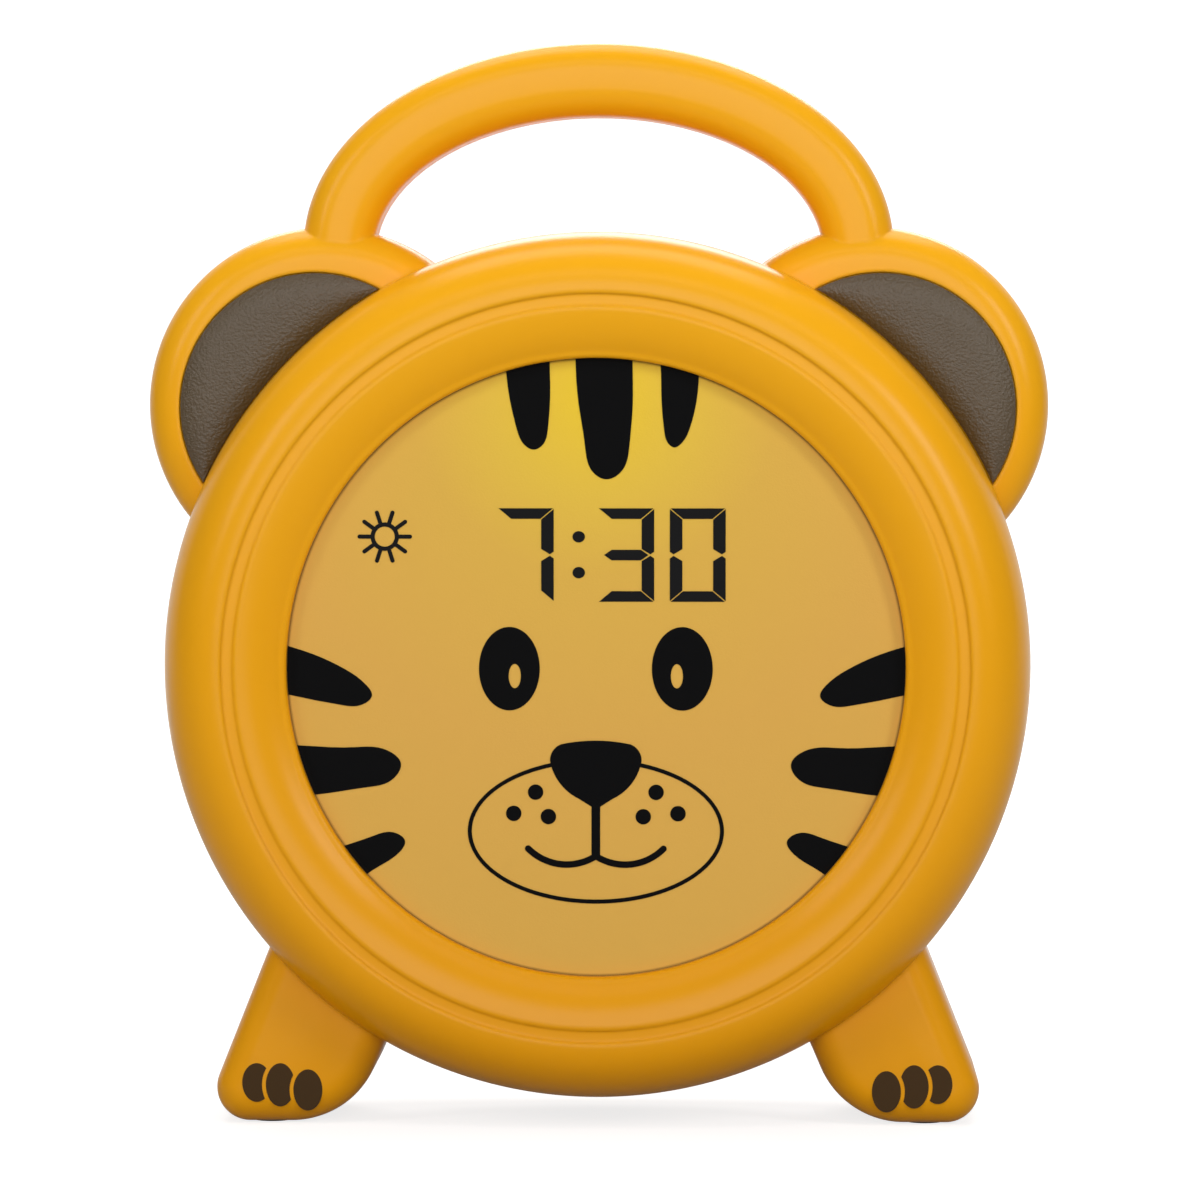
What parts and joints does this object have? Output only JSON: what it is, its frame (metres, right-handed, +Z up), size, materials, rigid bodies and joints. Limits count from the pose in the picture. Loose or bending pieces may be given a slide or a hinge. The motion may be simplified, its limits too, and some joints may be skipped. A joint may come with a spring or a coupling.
{
  "type": "kids alarm clock with night light",
  "caption": "Child's alarm clock and night light shaped as a round animal head, with ears, a fixed carry handle, two splayed feet, a lit face with figures and rear buttons.",
  "frame": {"origin": "on the standing surface, under the middle of the clock's bounding box", "axes": "+X to the right as seen from the front, the face looks towards -Y, +Z up"},
  "size_m": [0.16, 0.056, 0.192],
  "materials": {
    "body_shell": "satin moulded ABS",
    "insert_skin": "grained soft-touch",
    "face_diffuser": "frosted translucent",
    "black_ink": "screen print",
    "brown_ink": "pad print",
    "display_dark": "display segment",
    "white_moulding": "white ABS",
    "lamp_resin": "clear epoxy",
    "display_cell": "display glass",
    "black_moulding": "black moulding",
    "circuit_board": "solder mask",
    "ribbon_film": "flat cable",
    "button_cap": "satin moulded cap",
    "sprung_steel": "nickel plated",
    "screw_steel": "zinc plated",
    "speaker_paper": "pressed paper",
    "magnet_ferrite": "ferrite",
    "wire_cover": "insulated wire",
    "foot_rubber": "matt rubber"
  },
  "bodies": {
    "clock": {"front_housing": "body_shell", "rear_housing": "body_shell", "face_panel": "face_diffuser", "face_print": "black_ink", "stripe_print": "black_ink", "display_figures": "display_dark", "sun_sign": "display_dark", "ear_insert_left": "insert_skin", "ear_insert_right": "insert_skin", "toe_print_left": "brown_ink", "toe_print_right": "brown_ink", "light_tray": "white_moulding", "light_lamps": "lamp_resin", "display_frame": "black_moulding", "display_glass": "display_cell", "display_ribbon": "ribbon_film", "main_board": "circuit_board", "main_chip": "black_moulding", "control_board": "circuit_board", "button_switches": "black_moulding", "slide_switch_case": "sprung_steel", "control_ribbon": "ribbon_film", "speaker_basket": "sprung_steel", "speaker_cone": "speaker_paper", "speaker_magnet": "magnet_ferrite", "speaker_wires": "wire_cover", "battery_plates": "sprung_steel", "battery_springs": "sprung_steel", "battery_wires": "wire_cover", "power_socket": "sprung_steel", "power_board": "circuit_board", "power_wires": "wire_cover", "housing_screws": "screw_steel", "board_screws": "screw_steel", "foot_pad_left_front": "foot_rubber", "foot_pad_right_front": "foot_rubber", "foot_pad_left_rear": "foot_rubber", "foot_pad_right_rear": "foot_rubber"},
    "slide_knob": {"slide_switch_knob": "black_moulding"},
    "battery_cover": {"battery_door": "body_shell", "battery_door_screw": "screw_steel"},
    "button_time_cap": {"button_time": "button_cap"},
    "button_alarm_cap": {"button_alarm": "button_cap"},
    "button_hour_cap": {"button_hour": "button_cap"},
    "button_minute_cap": {"button_minute": "button_cap"},
    "button_light_cap": {"button_light": "button_cap"},
    "button_sound_cap": {"button_sound": "button_cap"}
  },
  "joints": [
    {"name": "button_time_press", "type": "slide", "parent": "clock", "child": "button_time_cap", "axis": [0, -1, 0], "range_m": [0, 0.0005], "stiffness_N_per_m": 500},
    {"name": "button_alarm_press", "type": "slide", "parent": "clock", "child": "button_alarm_cap", "axis": [0, -1, 0], "range_m": [0, 0.0005], "stiffness_N_per_m": 500},
    {"name": "button_hour_press", "type": "slide", "parent": "clock", "child": "button_hour_cap", "axis": [0, -1, 0], "range_m": [0, 0.0005], "stiffness_N_per_m": 500},
    {"name": "button_minute_press", "type": "slide", "parent": "clock", "child": "button_minute_cap", "axis": [0, -1, 0], "range_m": [0, 0.0005], "stiffness_N_per_m": 500},
    {"name": "button_light_press", "type": "slide", "parent": "clock", "child": "button_light_cap", "axis": [0, -1, 0], "range_m": [0, 0.0005], "stiffness_N_per_m": 500},
    {"name": "button_sound_press", "type": "slide", "parent": "clock", "child": "button_sound_cap", "axis": [0, -1, 0], "range_m": [0, 0.0005], "stiffness_N_per_m": 500},
    {"name": "slide_switch_shift", "type": "slide", "parent": "clock", "child": "slide_knob", "axis": [1, 0, 0], "range_m": [0, 0.004]},
    {"name": "battery_door_lift", "type": "slide", "parent": "clock", "child": "battery_cover", "axis": [0, 1, 0], "range_m": [0, 0.03]}
  ]
}
